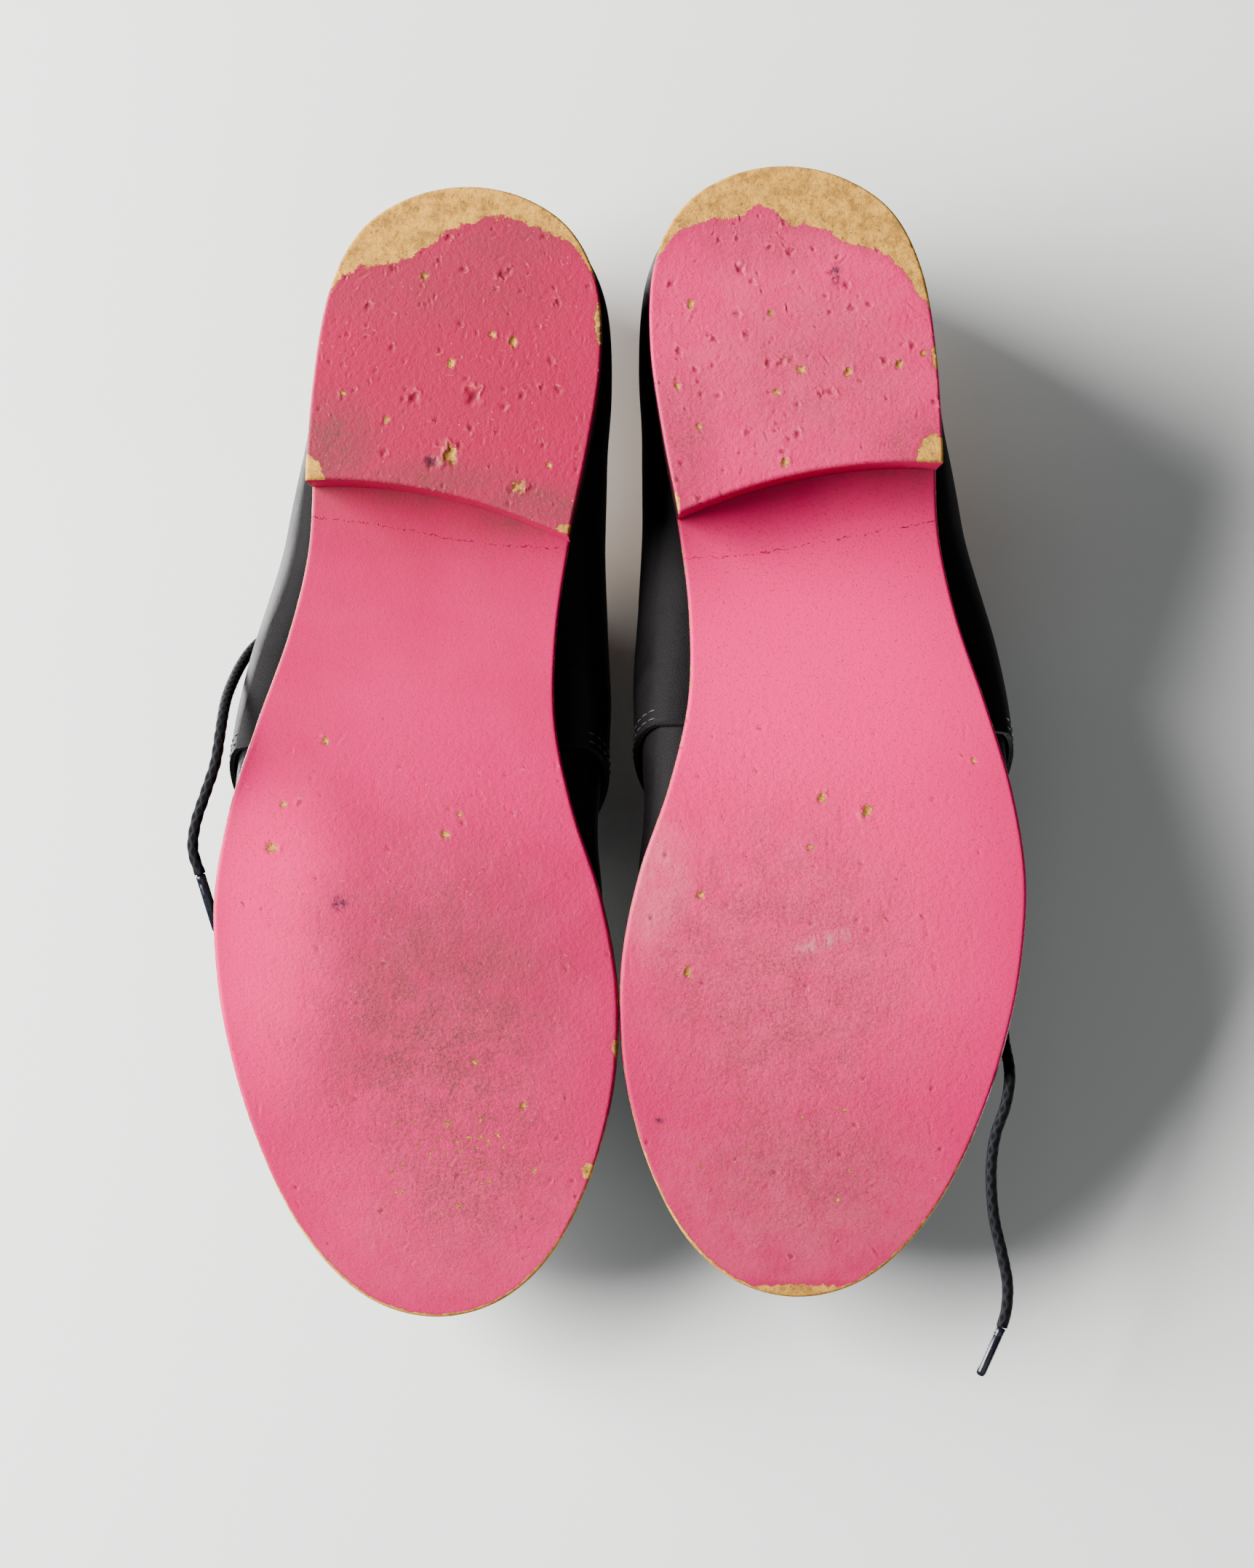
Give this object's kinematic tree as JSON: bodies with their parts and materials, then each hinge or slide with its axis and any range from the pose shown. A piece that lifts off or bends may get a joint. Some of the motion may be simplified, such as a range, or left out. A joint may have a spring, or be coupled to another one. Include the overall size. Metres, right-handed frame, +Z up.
{
  "type": "pair of lace-up shoes",
  "caption": "Pair of men's lace-up derby shoes in black leather, with painted leather soles and low stacked heels, laces undone.",
  "frame": {"origin": "centre of the pair's box on the plane that the soles and heels stand on", "axes": "+Z up, toes towards -Y, heels towards +Y, left shoe at +X and right shoe at -X"},
  "size_m": [0.223, 0.3264, 0.106],
  "materials": {
    "painted_leather": "pink paint on leather, satin, worn through in places",
    "black_leather": "smooth black leather, matte",
    "tan_leather": "natural lining leather, matte",
    "board": "fibre board, matte",
    "cork": "cork sheet, rough",
    "shank_steel": "spring steel",
    "felt": "stiffened felt",
    "eyelet_enamel": "black enamel",
    "lace_cotton": "woven round lace, matte",
    "aglet_plastic": "black plastic, glossy"
  },
  "bodies": {
    "left_shoe": {"left_outsole": "painted_leather", "left_heel_stack": "painted_leather", "left_heel_top_lift": "painted_leather", "left_filler": "cork", "left_shank": "shank_steel", "left_insole": "board", "left_sock_liner": "tan_leather", "left_vamp": "black_leather", "left_vamp_lining": "tan_leather", "left_toe_puff": "felt", "left_heel_counter": "board", "left_quarter_lateral": "black_leather", "left_quarter_medial": "black_leather", "left_quarter_lining": "tan_leather", "left_backstay": "black_leather", "left_lace": "lace_cotton", "left_lace_end_lateral": "lace_cotton", "left_lace_end_medial": "lace_cotton", "left_aglet_lateral": "aglet_plastic", "left_aglet_medial": "aglet_plastic", "left_eyelet_lateral_1": "eyelet_enamel", "left_eyelet_lateral_2": "eyelet_enamel", "left_eyelet_lateral_3": "eyelet_enamel", "left_eyelet_lateral_4": "eyelet_enamel", "left_eyelet_medial_1": "eyelet_enamel", "left_eyelet_medial_2": "eyelet_enamel", "left_eyelet_medial_3": "eyelet_enamel", "left_eyelet_medial_4": "eyelet_enamel"},
    "right_shoe": {"right_outsole": "painted_leather", "right_heel_stack": "painted_leather", "right_heel_top_lift": "painted_leather", "right_filler": "cork", "right_shank": "shank_steel", "right_insole": "board", "right_sock_liner": "tan_leather", "right_vamp": "black_leather", "right_vamp_lining": "tan_leather", "right_toe_puff": "felt", "right_heel_counter": "board", "right_quarter_lateral": "black_leather", "right_quarter_medial": "black_leather", "right_quarter_lining": "tan_leather", "right_backstay": "black_leather", "right_lace": "lace_cotton", "right_lace_end_lateral": "lace_cotton", "right_lace_end_medial": "lace_cotton", "right_aglet_lateral": "aglet_plastic", "right_aglet_medial": "aglet_plastic", "right_eyelet_lateral_1": "eyelet_enamel", "right_eyelet_lateral_2": "eyelet_enamel", "right_eyelet_lateral_3": "eyelet_enamel", "right_eyelet_lateral_4": "eyelet_enamel", "right_eyelet_medial_1": "eyelet_enamel", "right_eyelet_medial_2": "eyelet_enamel", "right_eyelet_medial_3": "eyelet_enamel", "right_eyelet_medial_4": "eyelet_enamel"},
    "left_tongue": {"left_tongue": "black_leather"},
    "right_tongue": {"right_tongue": "black_leather"}
  },
  "joints": [
    {"name": "right_shoe_apart", "type": "slide", "parent": "left_shoe", "child": "right_shoe", "axis": [-1, 0, 0], "range_m": [0, 0.1]},
    {"name": "left_tongue_fold", "type": "hinge", "parent": "left_shoe", "child": "left_tongue", "pos_m": [0.0487, -0.0355, 0.0615], "axis": [-1, 0, 0], "range_deg": [0, 12]},
    {"name": "right_tongue_fold", "type": "hinge", "parent": "right_shoe", "child": "right_tongue", "pos_m": [-0.0491, -0.0302, 0.0615], "axis": [-0.9998, -0.0192, 0], "range_deg": [0, 12]}
  ]
}
